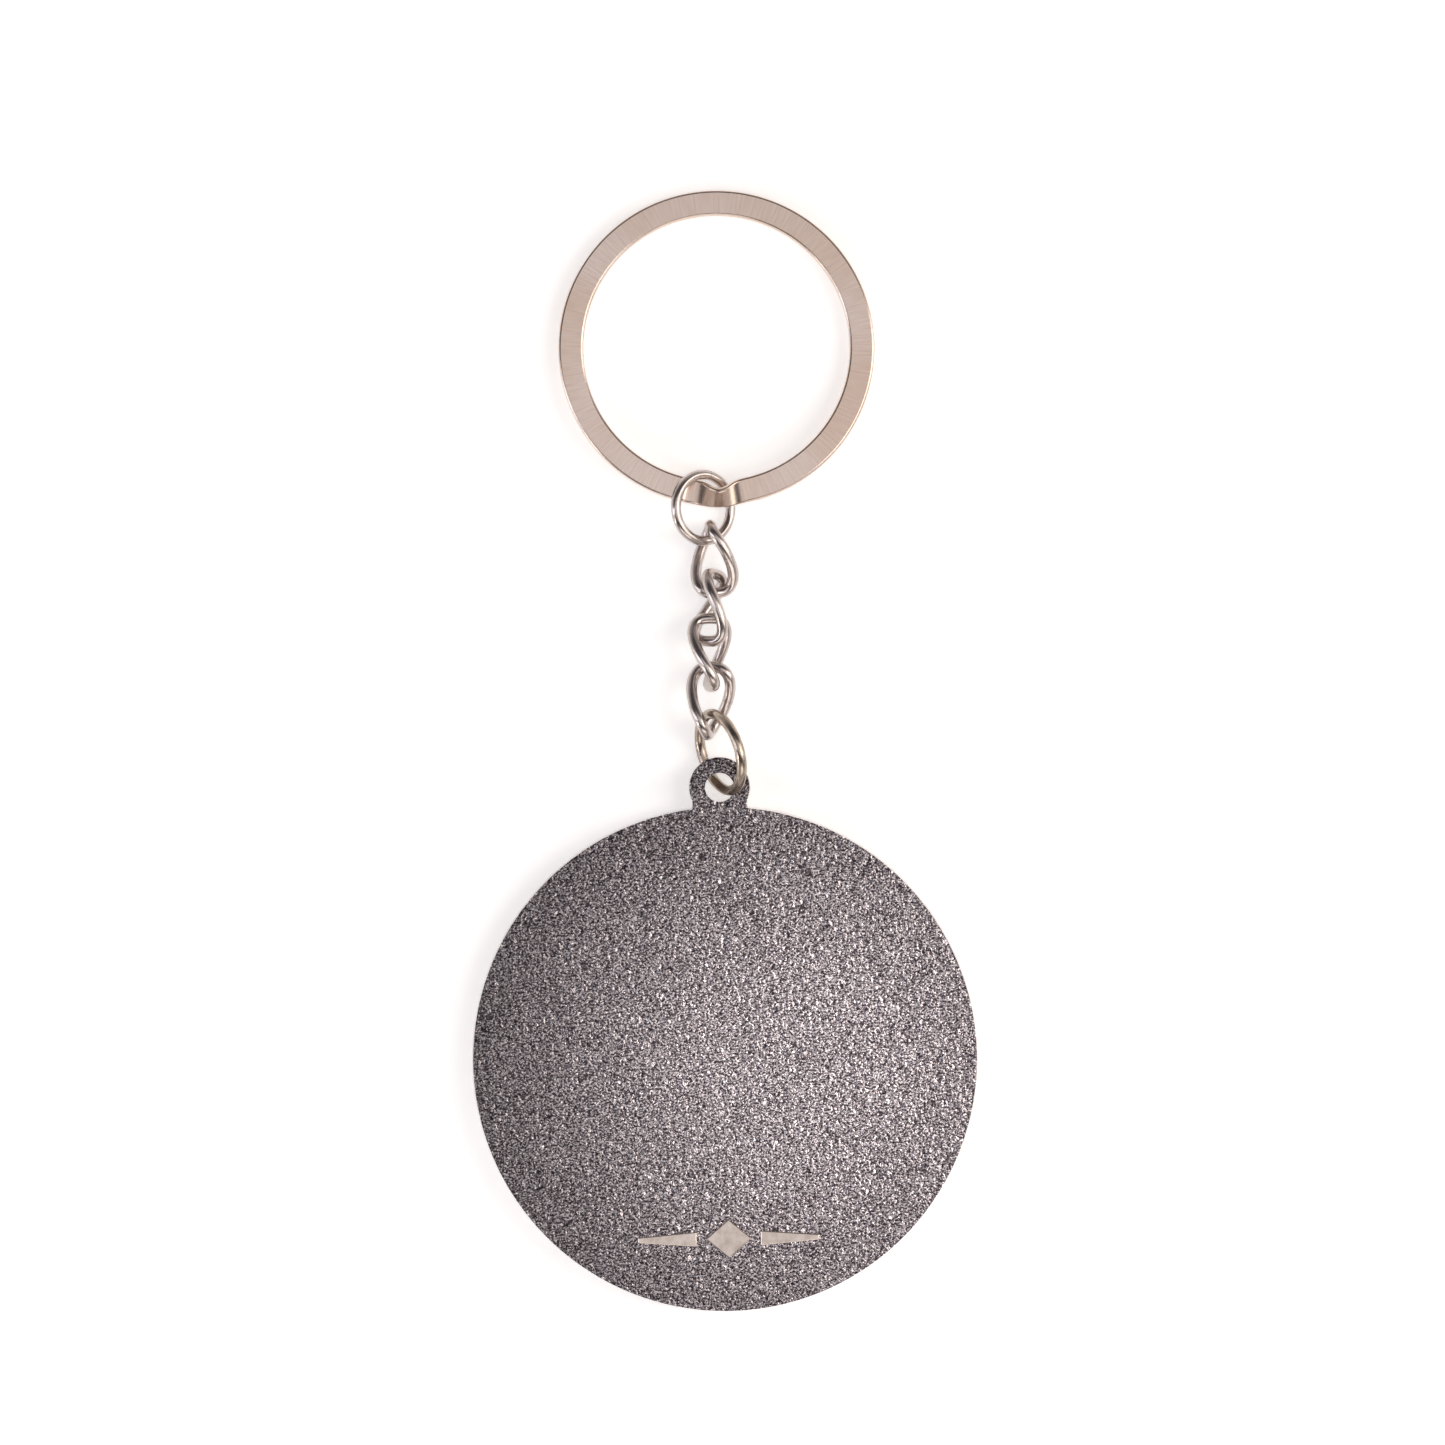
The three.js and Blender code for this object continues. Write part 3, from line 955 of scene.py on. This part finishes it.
bm = bmesh.new()
corners = [bm.verts.new((radius, 0, height)) for radius, height in profile]
rails = [bm.edges.new(pair) for pair in zip(corners, corners[1:])]
bmesh.ops.spin(
    bm,
    geom=corners + rails,
    cent=(0, 0, 0),
    axis=(0, 0, 1),
    angle=2 * math.pi,
    steps=SPIN_STEPS,
    use_merge=True,
)
bmesh.ops.remove_doubles(bm, verts=bm.verts, dist=1e-4)
bmesh.ops.recalc_face_normals(bm, faces=bm.faces)
medallion_front = finish_piece(
    bm, "medallion_front", "medallion", cast_buffed, "medallion", even=True
)
print("front half:", len(medallion_front.data.polygons), "faces")

# %% [markdown]
# The ornament is a lozenge between two tapered bars. It stands a little proud of the
# skin, so buffing has rounded its top edges and left it brighter than the texture.

# %% Raised ornament
ORNAMENT_HEIGHT = 0.25
ORNAMENT_Y = -18
LOZENGE_LENGTH = 4.6
LOZENGE_BREADTH = 3.9
BAR_LENGTH = 5.9
BAR_BREADTH = 1.5
BAR_TIP = 0.55
BAR_GAP = 0.9
ORNAMENT_FOOT = 0.3
ORNAMENT_ROUNDING = 0.1


def raised_shape(bm, outline_points):
    """A flat outline, pulled up from inside the skin, with softened top edges."""
    foot = DISC_THICKNESS - ORNAMENT_FOOT
    base = [bm.verts.new((x, ORNAMENT_Y + y, foot)) for x, y in outline_points]
    face = bm.faces.new(base)
    pulled = bmesh.ops.extrude_face_region(bm, geom=[face])["geom"]
    top = [item for item in pulled if isinstance(item, bmesh.types.BMVert)]
    bmesh.ops.translate(bm, vec=(0, 0, ORNAMENT_FOOT + ORNAMENT_HEIGHT), verts=top)
    rounded = [edge for edge in bm.edges if edge.verts[0] in top or edge.verts[1] in top]
    bmesh.ops.bevel(
        bm,
        geom=rounded,
        offset=ORNAMENT_ROUNDING,
        affect="EDGES",
        segments=3,
        profile=0.5,
        material=-1,
    )


bm = bmesh.new()
half_long, half_broad = LOZENGE_LENGTH / 2, LOZENGE_BREADTH / 2
raised_shape(bm, [(-half_long, 0), (0, -half_broad), (half_long, 0), (0, half_broad)])
for side in (-1, 1):
    inner = side * (half_long + BAR_GAP)
    outer = side * (half_long + BAR_GAP + BAR_LENGTH)
    corners = [(inner, -BAR_BREADTH / 2), (outer, -BAR_TIP / 2)]
    corners += [(outer, BAR_TIP / 2), (inner, BAR_BREADTH / 2)]
    raised_shape(bm, corners[::side])
bmesh.ops.recalc_face_normals(bm, faces=bm.faces)
ornament = finish_piece(
    bm, "ornament", "medallion", ornament_buffed, "medallion", even=True
)
print("ornament:", len(ornament.data.polygons), "faces")
